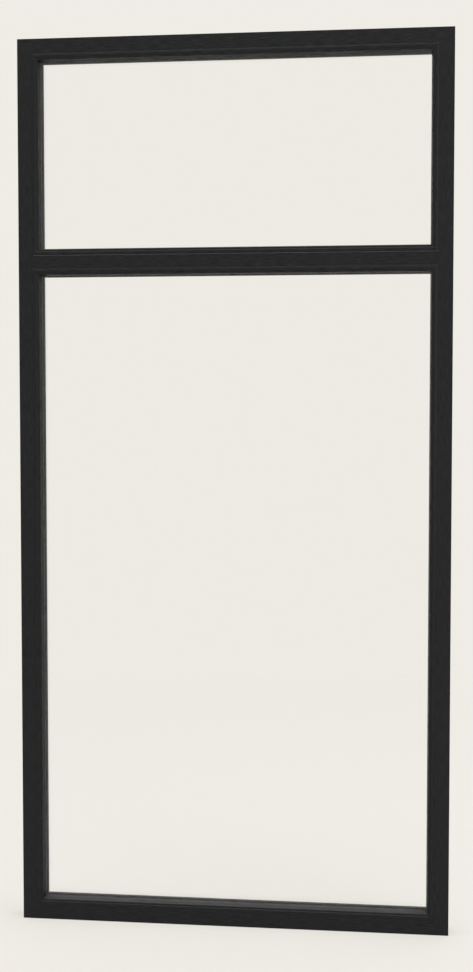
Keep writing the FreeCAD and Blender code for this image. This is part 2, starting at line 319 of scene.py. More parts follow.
@dataclass(frozen=True)
class Surface:
    """Points and the faces over them, in millimetres."""

    points: Array
    faces: Faces

    def placed(self, corner: Array, inward: Array, along: Array) -> "Surface":
        """Turn a bar's own axes (u, w, t) into the row's frame.

        Args:
            corner: Where u, w and t are all 0.
            inward: Direction of u.
            along: Direction of t.

        Returns:
            The same surface at corner + u * inward + w * (+Y) + t * along, with its map moved on
            by an amount of its own, so that no two members show the same grain.
        """
        axes = np.stack([inward, (0.0, 1.0, 0.0), along])
        x, _, z = corner
        uv = self.faces.uv + np.array((x - z, x + 2.0 * z)) * MM
        turned = replace(self.faces, normals=self.faces.normals @ axes, uv=uv)
        return Surface(corner + self.points @ axes, turned)

    def beside(self, other: "Surface") -> "Surface":
        """This surface and another one in one mesh."""
        moved = replace(other.faces, corners=other.faces.corners + len(self.points))
        return Surface(
            np.concatenate([self.points, other.points]), Faces.joined([self.faces, moved])
        )

    def to_object(self, name: str, sharp: float | None = None) -> bpy.types.Object:
        """Make the Blender object, with its place in its mesh.

        Args:
            name: The piece's name.
            sharp: Shade by this angle instead of by the surface's own normals, in radians.

        Returns:
            The object, at the origin, with a map of the distances along and around it.
        """
        faces = self.faces
        used, corners = np.unique(faces.corners, return_inverse=True)
        starts = np.cumsum(faces.counts) - faces.counts
        mesh = bpy.data.meshes.new(name)
        mesh.vertices.add(len(used))
        mesh.vertices.foreach_set("co", (self.points[used] * MM).ravel())
        mesh.loops.add(len(corners))
        mesh.loops.foreach_set("vertex_index", corners.ravel().astype(np.int32))
        mesh.polygons.add(len(faces.counts))
        mesh.polygons.foreach_set("loop_start", starts.astype(np.int32))
        mesh.polygons.foreach_set("use_smooth", np.ones(len(faces.counts), bool))
        mesh.update(calc_edges=True)
        mesh.uv_layers.new(name=GRAIN_MAP).uv.foreach_set("vector", faces.uv.ravel())
        eased = mesh.attributes.new(ARRIS_MAP, "FLOAT", "CORNER")
        eased.data.foreach_set("value", faces.arris)
        if sharp is None:
            mesh.normals_split_custom_set(faces.normals.tolist())
        else:
            mesh.set_sharp_from_angle(angle=sharp)
        return linked(name, mesh)


@dataclass(frozen=True)
class Bar:
    """A section carried along a straight bar, in the bar's own axes (u, w, t)."""

    outline: Outline
    stations: Sequence[Station]

    @property
    def grid(self) -> Array:
        """Number of the point at each station and outline point."""
        shape = len(self.stations), len(self.outline.points)
        return np.arange(math.prod(shape)).reshape(shape)

    @property
    def insets(self) -> Array:
        """How far each point is drawn in."""
        return np.stack([station.inset(self.outline.points[:, 0]) for station in self.stations])

    @property
    def points(self) -> Array:
        """Every station's section: the outline, drawn in along its normals, on the cut."""
        section = self.outline.points - self.insets[..., None] * self.outline.point_normals
        along = [station.along(row[:, 0]) for station, row in zip(self.stations, section)]
        return np.concatenate([section, np.stack(along)[..., None]], axis=2).reshape(-1, 3)

    @staticmethod
    def tipped(normals: Array, length: Array, draw: Array) -> Array:
        """Outline normals tipped along the bar by the slope at which the section is drawn in."""
        slope = draw / np.where(np.abs(length) > CLOSE, length, 1.0)
        return unit(np.stack(np.broadcast_arrays(*normals.T, slope), axis=-1))

    def walls(self, grid: Array, left_out: Array | None = None) -> Faces:
        """Faces between neighbouring stations: a four-cornered one for each edge of the outline.

        A normal is the outline's, tipped along the bar where the section is being drawn in.

        Args:
            grid: Number of the point at each station and outline point.
            left_out: True for each face, by station and edge, that isn't made.

        Returns:
            The faces.
        """
        outline = self.outline
        run = self.points[:, 2].reshape(self.grid.shape)
        length, draw = np.diff(run, axis=0), np.diff(self.insets, axis=0)
        next_run, next_length, next_draw = (
            np.roll(values, -1, axis=1) for values in (run, length, draw)
        )
        first = self.tipped(outline.first_normals, length, draw)
        last = self.tipped(outline.last_normals, next_length, next_draw)
        start = np.stack(np.broadcast_arrays(run, outline.around[:-1]), axis=-1)
        end = np.stack(np.broadcast_arrays(next_run, outline.around[1:]), axis=-1)
        made = np.ones(length.shape, bool) if left_out is None else ~left_out
        return Faces.quads(
            cells(grid)[made],
            np.stack([first, last, last, first], axis=2)[made],
            cells(start, end)[made],
            np.broadcast_to(outline.arris, length.shape)[made],
        )

    def closed(self, *parts: Array | slice) -> Surface:
        """The bar's walls, closed at both ends.

        Args:
            parts: The points of the outline that each face of an end goes over.

        Returns:
            The closed bar.
        """
        grid, points = self.grid, self.points
        ends = [index for part in parts for index in (grid[0][part][::-1], grid[-1][part])]
        faces = [self.walls(grid), *(Faces.polygon(points, index) for index in ends)]
        return Surface(points, Faces.joined(faces))


@dataclass(frozen=True)
class Opening:
    """An upright rectangle at the outer edge (u = 0) of the bars that run round it."""

    width: float
    bottom: float
    top: float
    room_face: float

    def length(self, side: Side) -> float:
        """Length of a side's bar at its outer edge."""
        return self.top - self.bottom if side.upright else self.width

    def placed(self, surface: Surface, side: Side) -> Surface:
        """Put a bar on its side of the opening, from the corner where it starts.

        Args:
            surface: The bar in its own axes.
            side: Its side.

        Returns:
            The bar in the row's frame.
        """
        x = self.width / 2.0 * (-1.0 if side in (Side.LEFT, Side.TOP) else 1.0)
        z = self.top if side in (Side.TOP, Side.RIGHT) else self.bottom
        return surface.placed(np.array((x, self.room_face, z)), side.inward, side.along)

    def mitred(self, outline: Outline, side: Side, joint: float, depth: float) -> Surface:
        """A bar with both ends cut at 45 degrees and drawn in a little at the cut.

        Args:
            outline: The bar's section.
            side: The side that the bar is on.
            joint: How far from the cut the section starts to be drawn in.
            depth: How far it is drawn in at the cut.

        Returns:
            The bar in place.
        """
        stations = mitre_stations(self.length(side), joint, depth)
        return self.placed(Bar(outline, stations).closed(slice(None)), side)

    def ring(self, outline: Outline) -> Surface:
        """Carry a section all the way round, with mitred corners and no ends.

        Args:
            outline: The section.

        Returns:
            The ring in place.
        """
        count = len(outline.points)
        points, faces = [], []
        for number, side in enumerate(Side):
            bar = Bar(outline, (Station(0.0, 1.0), Station(self.length(side), -1.0)))
            grid = np.arange(count) + np.array([[number], [(number + 1) % len(Side)]]) * count
            placed = self.placed(Surface(bar.points, bar.walls(grid)), side)
            points.append(placed.points[:count])
            faces.append(placed.faces)
        return Surface(np.concatenate(points), Faces.joined(faces))


# Sub-assemblies


@dataclass(frozen=True)
class Extrusion:
    """Sizes of the frame's extrusion, shared by the frame and by what is glazed into it."""

    depth: float = 70.0
    face: float = 41.0  # flat room face, from the outer edge to the rebate
    lip_rise: float = 20.5
    lip_thickness: float = 16.0
    lip_land: float = 3.0
    lip_fall: float = 4.5
    arris: float = 0.6
    fine_arris: float = 0.4
    bead_groove: tuple[float, float, float] = (5.5, 4.0, 4.0)  # start, width, depth
    seal_groove: tuple[float, float, float] = (8.0, 3.0, 2.5)
    edge_groove: tuple[float, float, float] = (13.0, 5.0, 3.0)
    arc_steps: int = 6

    @property
    def room_face(self) -> float:
        """Place of the room face on the row's Y axis."""
        return -self.depth / 2.0

    @property
    def weather_face(self) -> float:
        """Place of the weather face on the row's Y axis."""
        return self.depth / 2.0

    @property
    def lip_top(self) -> float:
        """Sight edge of the weather lip."""
        return self.face + self.lip_rise

    @property
    def lip_front(self) -> float:
        """Side of the lip towards the glass."""
        return self.depth - self.lip_thickness

    def rebate(self, shift: float) -> list[Corner]:
        """Corners from the room face over rebate and lip to the weather face.

        Args:
            shift: Taken from every u, so that a transom can have its middle at 0.

        Returns:
            The corners.
        """
        face, lip, front = self.face - shift, self.lip_top - shift, self.lip_front
        clip, clip_width, clip_depth = self.bead_groove
        rise, seal_width, seal_depth = self.seal_groove
        seal = face + rise
        return [
            (face, 0.0, self.fine_arris),
            *groove((face, clip), (face, clip + clip_width), (-clip_depth, 0.0)),
            (face, front, 0.0),
            *groove((seal, front), (seal + seal_width, front), (0.0, seal_depth)),
            (lip, front, self.fine_arris),
            (lip, front + self.lip_land, self.fine_arris),
            (lip - self.lip_fall, self.depth, self.arris),
        ]


@dataclass
class WeldedFrame:
    """Head, sill, two jambs and a transom, with the fine lines of their welds."""

    finishes: "Finishes"
    extrusion: Extrusion = Extrusion()
    width: float = 1200.0
    height: float = 2470.0
    transom_level: float = 1857.0
    transom_face: float = 37.0
    weld_width: float = 0.9
    weld_depth: float = 0.22
    fixing_radius: float = 4.0
    fixing_levels: tuple[float, ...] = (180.0, 885.0, 1585.0, 2290.0)
    fixing_depth: float = 38.0
    fixing_points: int = 32
    sill_drain_level: float = 18.0
    transom_drain_drop: float = 10.0

    @property
    def shift(self) -> float:
        """Where the transom's middle lies on the frame's section."""
        return self.extrusion.face - self.transom_face / 2.0

    @property
    def opening(self) -> Opening:
        """The rectangle at the frame's outer edge."""
        return self.between(0.0, self.height)

    def between(self, bottom: float, top: float) -> Opening:
        """A rectangle as wide as the frame."""
        return Opening(self.width, bottom, top, self.extrusion.room_face)

    def frame_outline(self) -> Outline:
        """Draw the section of head, sill and jambs.

        Returns:
            The section, with a point at the transom's middle on both faces.
        """
        size = self.extrusion
        inset, width, depth = size.edge_groove
        far = size.depth - inset
        corners = [
            (0.0, 0.0, size.arris),
            (self.shift, 0.0, 0.0),
            *size.rebate(0.0),
            (self.shift, size.depth, 0.0),
            (0.0, size.depth, size.arris),
            *groove((0.0, far), (0.0, far - width), (depth, 0.0)),
            *groove((0.0, inset + width), (0.0, inset), (depth, 0.0)),
        ]
        return Outline.rounded(corners, size.arc_steps)

    def transom_outline(self) -> Outline:
        """Draw the transom's section: the frame's rebate and lip on both sides of its middle.

        Returns:
            The section, whose rounded edge along the upper beads carries a painted highlight.
        """
        size = self.extrusion
        side = size.rebate(self.shift)
        mirrored = [(-u, w, radius) for u, w, radius in reversed(side)]
        corners = [(0.0, 0.0, 0.0), *side, (0.0, size.depth, 0.0), *mirrored]
        outline = Outline.rounded(corners, size.arc_steps)
        u, w = outline.points.T
        upper = (u < 0.0) & (w <= size.fine_arris + CLOSE)
        # Mark the rounded edge along the upper beads for a painted highlight.
        return replace(outline, arris=np.where(upper, PAINTED_HIGHLIGHT, EASED) * (outline.arris > 0.0))

    def transom(self) -> Surface:
        """Make the transom, with pointed ends: its cuts stand at t = |u| and t = length - |u|.

        Returns:
            The transom in place, with two faces at each end that meet on u = 0.
        """
        reach = self.width / 2.0 - self.shift
        outline = self.transom_outline()
        u = outline.points[:, 0]
        bar = Bar(outline, mitre_stations(2.0 * reach, self.weld_width, self.weld_depth))
        start = np.array((-reach, self.extrusion.room_face, self.transom_level))
        closed = bar.closed(in_one_run(u >= -CLOSE), in_one_run(u <= CLOSE))
        return closed.placed(start, Side.TOP.inward, Side.TOP.along)

    def jamb(self, side: Side) -> Surface:
        """Make a jamb, notched for the transom's pointed end and bored for the frame screws.

        The notch is a pair of stations that fold at the transom's middle, t = level - (u - fold)
        and t = level + (u - fold).  Up to the fold they are one and the same.

        Args:
            side: Left or right.

        Returns:
            The jamb in place.
        """
        outline, length, fold = self.frame_outline(), self.height, self.shift
        u = outline.points[:, 0]
        upward = side is Side.LEFT
        level = self.transom_level if upward else length - self.transom_level
        pads = self.extrusion.depth / 2.0 - sum(self.extrusion.edge_groove[:2])
        heights = np.sort([z if upward else length - z for z in self.fixing_levels])
        cuts = np.sort(np.concatenate([heights - pads, heights + pads]))
        joint, depth = self.weld_width, self.weld_depth
        mitre = mitre_stations(length, joint, depth)
        foot, top = mitre[:2], mitre[2:]
        below = [Station(cut) for cut in cuts if cut < level]
        above = [Station(cut) for cut in cuts if cut > level]
        notch = [
            Station(level - joint, -1.0, fold),
            Station(level, -1.0, fold, depth),
            Station(level, 1.0, fold, depth),
            Station(level + joint, 1.0, fold),
        ]
        bar = Bar(outline, (*foot, *below, *notch, *above, *top))
        grid, points = bar.grid, bar.points
        lower = len(foot) + len(below) + 1
        grid[lower + 1, u <= fold + CLOSE] = grid[lower, u <= fold + CLOSE]
        inner = in_one_run(u >= fold - CLOSE)
        strip = self.screw_strip(outline)
        cut_number = 2 * np.arange(len(heights))
        holes = len(foot) + cut_number + len(notch) * (cut_number >= len(below))
        left_out = np.zeros((len(grid) - 1, len(u)), bool)
        left_out[lower] = True
        left_out[holes, strip] = True
        ends = grid[0][::-1], grid[-1], grid[lower][inner], grid[lower + 1][inner][::-1]
        faces = [bar.walls(grid, left_out), *(Faces.polygon(points, index) for index in ends)]
        for around, height in zip(cells(grid)[holes, strip], heights):
            points, bore = self.screw_hole(points, around, height)
            faces += bore
        return self.opening.placed(Surface(points, Faces.joined(faces)), side)

    def screw_strip(self, outline: Outline) -> int:
        """Number of the outline's edge that lies between the two grooves of the outer edge."""
        middle = (outline.points + np.roll(outline.points, -1, axis=0)) / 2.0
        return int(np.argmin(np.linalg.norm(middle - (0.0, self.extrusion.depth / 2.0), axis=1)))

    def screw_hole(self, points: Array, around: Array, height: float) -> tuple[Array, list[Faces]]:
        """Make a round bore in a square field of the outer edge.

        The bore's points are at w = middle + r cos(a) and t = height + r sin(a), and a starts
        towards the field's first corner, so that each quarter of it faces one side of the field.

        Args:
            points: (v, 3) points of the jamb so far.
            around: The field's four corners.
            height: Where the bore's middle is along the jamb.

        Returns:
            The points with the bore's added, and the faces of the field and of the bore.
        """
        count = self.fixing_points
        angle = -math.pi / 4.0 - np.arange(count) * 2.0 * math.pi / count
        spokes = np.stack([np.zeros(count), np.cos(angle), np.sin(angle)], axis=1)
        mouth = (0.0, self.extrusion.depth / 2.0, height) + self.fixing_radius * spokes
        top = np.arange(count) + len(points)
        deep = top + count
        points = np.concatenate([points, mouth, mouth + (self.fixing_depth, 0.0, 0.0)])
        corners = np.stack([around, np.roll(around, -1)], axis=1)
        quarters = np.arange(count // 4, -1, -1) + np.arange(4)[:, None] * (count // 4)
        field_faces = np.concatenate([corners, top[quarters % count]], axis=1)
        first, last = -spokes, -np.roll(spokes, -1, axis=0)
        ring = cells(np.stack([top, deep]))[0]
        normals = np.stack([first, last, last, first], axis=1)
        wall = Faces.quads(ring, normals, points[ring][..., [2, 0]])
        flat = [Faces.polygon(points, index) for index in field_faces]
        return points, [*flat, wall, Faces.polygon(points, deep)]

    def build(self) -> None:
        """Make and dress the five members."""
        outline = self.frame_outline()
        joint, depth = self.weld_width, self.weld_depth
        rail, upright = self.finishes.rail_foil, self.finishes.jamb_foil
        members = {
            "head": (self.opening.mitred(outline, Side.TOP, joint, depth), rail),
            "sill": (self.opening.mitred(outline, Side.BOTTOM, joint, depth), rail),
            "left_jamb": (self.jamb(Side.LEFT), upright),
            "right_jamb": (self.jamb(Side.RIGHT), upright),
            "transom": (self.transom(), rail),
        }
        for node, (surface, finish) in members.items():
            dress(surface.to_object(f"foiled_{node}"), finish, "foil", node)


@dataclass
class GlazedLight:
    """Beads, gaskets and sealed unit of one light."""

    name: str
    opening: Opening  # what the light's sections are measured from
    finishes: "Finishes"
    extrusion: Extrusion = Extrusion()
    pane: float = 4.0
    cavity: float = 20.0
    glass_edge_gap: float = 5.0
    edge_seal_depth: float = 4.5
    spacer_height: float = 7.0
    spacer_round: float = 0.7
    spacer_channel: tuple[float, float] = (11.0, 0.35)  # width and depth between its two rails
    bead_seal: float = 3.0
    lip_seal: float = 3.5
    seal_foot: float = 7.5
    seal_setback: float = 1.0
    seal_round: float = 1.2
    nose_rise: float = 2.2
    nose_climb: float = 6.8
    nose_fall: float = 4.6
    nose_root: float = 0.2
    nose_strip: float = 5.0
    nose_edge: float = 2.0
    nose_steps: int = 14
    bead_joint: float = 0.15
    bead_setback: float = 1.0
    bead_foot: float = 7.0
    bead_foot_rise: float = 4.0
    clip_clearance: float = 0.3
    mitre_width: float = 0.5
    mitre_depth: float = 0.15

    @property
    def unit_back(self) -> float:
        """Weather side of the sealed unit."""
        return self.extrusion.lip_front - self.lip_seal

    @property
    def unit_front(self) -> float:
        """Room side of the sealed unit."""
        return self.unit_back - 2.0 * self.pane - self.cavity

    @property
    def seal_reach(self) -> tuple[float, float]:
        """Foot and sight edge of both gaskets."""
        size = self.extrusion
        return size.face + self.seal_foot, size.lip_top - self.seal_setback

    def nose_corner(self, crest: float, span: float) -> Corner:
        """Corner of the arc that rises to the nose's crest and is level there.

        With a rise r over a span s the radius is (s * s + r * r) / 2r, and the tangents at the
        arc's two ends meet (s * s + r * r) / 2s away from the crest.

        Args:
            crest: Where the crest is.
            span: From the arc's other end to the crest, below 0 on the side of the glass.

        Returns:
            The corner that the arc rounds off.
        """
        rise = self.nose_rise + self.nose_root
        square = span**2 + rise**2
        return crest - square / (2.0 * span), -self.nose_rise, square / (2.0 * rise)

    def bead_outline(self) -> Outline:
        """Draw a bead's section.

        Returns:
            The section: rounded nose of two arcs, flat strip, inner side, foot and clip.
        """
        size, root, gap = self.extrusion, self.nose_root, self.clip_clearance
        face = size.face
        crest = face + self.bead_joint + self.nose_climb
        strip = crest + self.nose_fall
        back = self.unit_front - self.bead_seal
        clip, clip_width, clip_depth = size.bead_groove
        clip_end = clip + clip_width - gap
        step = face + self.bead_foot_rise
        corners = [
            (face + self.bead_joint, root, 0.0),
            self.nose_corner(crest, self.nose_climb),
            self.nose_corner(crest, -self.nose_fall),
            (strip, root, 0.0),
            (strip + self.nose_strip, root, self.nose_edge),
            (size.lip_top - self.bead_setback, back, 0.0),
            (step, back, 0.0),
            (step, clip_end + self.bead_foot, 0.0),
            (face, clip_end + self.bead_foot, 0.0),
            *groove((face, clip_end), (face, clip + gap), (gap - clip_depth, 0.0)),
            (face, root + size.fine_arris, 0.0),
        ]
        return Outline.rounded(corners, self.nose_steps)

    def bead_seal_outline(self) -> Outline:
        """Draw the section of the gasket between a bead and the glass.

        Returns:
            The section, with a soft sight edge.
        """
        foot, edge = self.seal_reach
        back = self.unit_front
        front = back - self.bead_seal
        sight = [(edge, front, self.seal_round), (edge, back, self.seal_round / 2.0)]
        corners = [(foot, front, 0.0), *sight, (foot, back, 0.0)]
        return Outline.rounded(corners, self.extrusion.arc_steps)

    def lip_seal_outline(self) -> Outline:
        """Draw the section of the gasket between the glass and the lip.

        Returns:
            The section, with a soft sight edge and a foot in the lip's groove.
        """
        size, gap = self.extrusion, self.clip_clearance
        foot, edge = self.seal_reach
        front, back = self.unit_back, size.lip_front
        rise, width, depth = size.seal_groove
        low = size.face + rise
        corners = [
            (foot, front, 0.0),
            (edge, front, self.seal_round / 2.0),
            (edge, back, self.seal_round),
            *groove((low + width - gap, back), (low + gap, back), (0.0, depth - gap)),
            (foot, back, 0.0),
        ]
        return Outline.rounded(corners, size.arc_steps)

    def spacer_outline(self) -> Outline:
        """Draw the spacer's section.

        Returns:
            The section: two low rails and a channel on its side towards the cavity.
        """
        start = self.extrusion.face + self.glass_edge_gap + self.edge_seal_depth
        end = start + self.spacer_height
        front = self.unit_front + self.pane
        back = front + self.cavity
        width, depth = self.spacer_channel
        near, far = (front + back - width) / 2.0, (front + back + width) / 2.0
        corners = [
            (start, front, 0.0),
            (end, front, self.spacer_round),
            (end, near, 0.0),
            (end - depth, near + depth, 0.0),
            (end - depth, far - depth, 0.0),
            (end, far, 0.0),
            (end, back, self.spacer_round),
            (start, back, 0.0),
        ]
        return Outline.rounded(corners, self.extrusion.arc_steps)

    def build(self) -> None:
        """Make the beads, gaskets and spacer, and dress them and the nodes that stay."""
        finishes, opening = self.finishes, self.opening
        beads = self.bead_outline()
        for side in Side:
            surface = opening.mitred(beads, side, self.mitre_width, self.mitre_depth)
            piece = surface.to_object(f"{self.name}_{side.value}_nosed_bead")
            foil = finishes.jamb_foil if side.upright else finishes.rail_foil
            dress(piece, foil, "foil", f"{self.name}_{side.value}_bead")
        rings = {
            "bead_gasket": ("gasket", finishes.rubber, self.bead_seal_outline()),
            "lip_gasket": ("gasket", finishes.rubber, self.lip_seal_outline()),
            "spacer": ("spacer", finishes.spacer, self.spacer_outline()),
        }
        for part, (slot, finish, outline) in rings.items():
            piece = opening.ring(outline).to_object(f"{self.name}_{part}_ring")
            dress(piece, finish, slot, f"{self.name}_{part}")
        kept = {
            "room_pane": finishes.glass,
            "weather_pane": finishes.glass,
            "edge_seal": finishes.sealant,
            "setting_blocks": finishes.block,
        }
        for part, finish in kept.items():
            dress_node(f"{self.name}_{part}", finish)


@dataclass
class DrainCaps:
    """The pair of louvred caps over the drain slots of one rail, on the weather face."""

    rail: str
    level: float
    finish: Material
    weather_face: float = Extrusion().weather_face
    reach: float = 410.0
    half_length: float = 22.0
    half_height: float = 9.5
    thickness: float = 3.0
    corner_round: float = 3.0
    edge_round: float = 1.1
    louvres: int = 3
    louvre_height: float = 4.0
    louvre_half_length: float = 16.0
    louvre_depth: float = 1.0
    louvre_end: float = 0.8
    columns: int = 57
    rows: int = 73
    sharp_angle: float = math.radians(35.0)

    def cap(self, x: float) -> Surface:
        """Make one cap as a height over a grid of two parameters.

        The plan is a rounded rectangle: the half height at a column falls off as a quarter circle
        within the corner's radius of each end.  The height is the thickness, less a quarter-round
        at the rim and a saw tooth over each louvre.

        Args:
            x: Middle of the cap across the window.

        Returns:
            The cap in place, with a skirt down to the weather face and a flat back.
        """
        a = np.linspace(-1.0, 1.0, self.columns)[:, None]
        b = np.linspace(-1.0, 1.0, self.rows)[None, :]
        across = self.half_length * np.sin(a * math.pi / 2.0)
        past = np.maximum(np.abs(across) - (self.half_length - self.corner_round), 0.0)
        half = self.half_height - self.corner_round + np.sqrt(self.corner_round**2 - past**2)
        across, up = np.broadcast_arrays(across, half * b)
        rim = np.minimum(self.half_length - np.abs(across), half - np.abs(up))
        inside = np.clip(rim / self.edge_round, 0.0, 1.0)
        eased = self.edge_round * (1.0 - np.sqrt(1.0 - (1.0 - inside) ** 2))
        field_half = self.louvres * self.louvre_height / 2.0
        tooth = np.mod((up + field_half) / self.louvre_height, 1.0)
        ends = np.clip((self.louvre_half_length - np.abs(across)) / self.louvre_end, 0.0, 1.0)
        louvre = np.where(np.abs(up) < field_half, self.louvre_depth * (1.0 - tooth) * ends, 0.0)
        out = self.thickness - eased - louvre
        grid = np.arange(across.size).reshape(across.shape)
        front = np.stack([across + x, self.weather_face + out, up + self.level], -1).reshape(-1, 3)
        ring = np.concatenate([grid[:-1, 0], grid[-1, :-1], grid[:0:-1, -1], grid[0, :0:-1]])
        skirt = front[ring] * (1.0, 0.0, 1.0) + (0.0, self.weather_face, 0.0)
        base = np.arange(len(ring)) + len(front)
        points = np.concatenate([front, skirt])
        top, wall = cells(grid[:, :-1], grid[:, 1:]), cells(np.stack([ring, base]))[0]
        quads = np.concatenate([top.reshape(-1, 4), wall])
        sides = Faces.quads(quads, np.zeros((*quads.shape, 3)), points[quads][..., [0, 2]])
        return Surface(points, Faces.joined([sides, Faces.polygon(points, base)]))

    def build(self) -> None:
        """Make and dress the pair."""
        pair = self.cap(-self.reach).beside(self.cap(self.reach))
        piece = pair.to_object(f"{self.rail}_louvred_caps", self.sharp_angle)
        dress(piece, self.finish, "cap", f"{self.rail}_drain_caps")


def dress(piece: bpy.types.Object, finish: Material, slot: str, node: str) -> None:
    """Give a new piece its finish and its body, and hide the CAD node that it stands for.

    Args:
        piece: The new piece.
        finish: Its material.
        slot: Not used.
        node: The CAD node that it replaces.
    """
    piece.data.materials.append(finish)
    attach(piece, BODY)
    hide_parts(node)
    points = np.empty((len(piece.data.vertices), 3), np.float32)
    piece.data.vertices.foreach_get("co", points.ravel())
    off = np.abs(np.stack([points.min(0), points.max(0)]) - np.array(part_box(node))).max()
    LOG.info("%s: %d faces, box within %.3f mm", piece.name, len(piece.data.polygons), off / MM)


def dress_node(node: str, finish: Material) -> None:
    """Give a CAD node that stays a better material."""
    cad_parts[node].material_slots[0].material = finish
    LOG.info("%s: CAD node dressed with %s", node, finish.name)


# Finishes


class Board:
    """Adds nodes to a node tree and links them."""

    MIX_FACTOR, MIX_FIRST, MIX_SECOND, MIX_RESULT = 0, 6, 7, 2  # colour sockets of a Mix node

    def __init__(self, tree: Tree) -> None:
        """Work on this tree."""
        self.tree = tree

    @classmethod
    def emptied(cls, owner: Material | bpy.types.World) -> "Board":
        """Work on the nodes of a material or world, without those that it came with.

        Args:
            owner: The material or world.

        Returns:
            The board.
        """
        owner.use_nodes = True
        owner.node_tree.nodes.clear()
        return cls(owner.node_tree)

    def feed(self, socket: Socket, value: object) -> None:
        """Link an output to an input socket, or set a plain value or colour on it.

        Args:
            socket: The input socket.
            value: An output socket, a number or a colour.
        """
        if isinstance(value, Socket):
            self.tree.links.new(value, socket)
        else:
            socket.default_value = (*value, 1.0) if socket.type == "RGBA" else value

    def add(self, kind: str, inputs: dict | None = None, **settings: object) -> Node:
        """Add a node.

        Args:
            kind: The shader node's type.
            inputs: Value, colour or output socket for each input, by name or number.
            settings: The node's own properties.

        Returns:
            The node.
        """
        node = self.tree.nodes.new(f"ShaderNode{kind}")
        for name, value in settings.items():
            setattr(node, name, value)
        for key, value in (inputs or {}).items():
            self.feed(node.inputs[key], value)
        return node

    def math(self, operation: str, first: object, second: object) -> Socket:
        """A Math node's result."""
        return self.add("Math", {0: first, 1: second}, operation=operation).outputs[0]

    def noise(self, vector: Socket, scale: object, detail: float, roughness: float) -> Socket:
        """A Noise Texture's value."""
        inputs = {"Vector": vector, "Scale": scale, "Detail": detail, "Roughness": roughness}
        return self.add("TexNoise", inputs).outputs[0]

    def ramp(
        self, value: object, low: float, high: float, start: float = 0.0, end: float = 1.0
    ) -> Socket:
        """A value from low to high, as one from start to end, and held there beyond."""
        inputs = {0: value, 1: low, 2: high, 3: start, 4: end}
        return self.add("MapRange", inputs, clamp=True).outputs[0]

    def mix(self, factor: Socket, first: object, second: object) -> Socket:
        """A colour between two."""
        inputs = {self.MIX_FACTOR: factor, self.MIX_FIRST: first, self.MIX_SECOND: second}
        return self.add("Mix", inputs, data_type="RGBA").outputs[self.MIX_RESULT]

    def either(self, factor: Socket, first: Node, second: Node) -> Socket:
        """A Mix Shader's result, between two shader nodes."""
        shaders = {0: factor, 1: first.outputs[0], 2: second.outputs[0]}
        return self.add("MixShader", shaders).outputs[0]


class EffectBoard(Board):
    """A board on a new node group, with the group's inputs as given."""

    def __init__(self, name: str, inputs: dict[str, str], outputs: Sequence[str]) -> None:
        """Start a group.

        Args:
            name: The group's name.
            inputs: Kind of each named input, Vector or Float.
            outputs: Names of its value outputs.
        """
        super().__init__(bpy.data.node_groups.new(name, "ShaderNodeTree"))
        sockets = self.tree.interface
        for socket, kind in inputs.items():
            sockets.new_socket(socket, in_out="INPUT", socket_type=f"NodeSocket{kind}")
        for socket in outputs:
            sockets.new_socket(socket, in_out="OUTPUT", socket_type="NodeSocketFloat")
        self.given = self.tree.nodes.new("NodeGroupInput").outputs

    def done(self, results: dict[str, Socket]) -> Tree:
        """Link the results to the group's outputs.

        Args:
            results: The socket for each named output.

        Returns:
            The group's tree.
        """
        leave = self.tree.nodes.new("NodeGroupOutput")
        for name, result in results.items():
            self.feed(leave.inputs[name], result)
        return self.tree


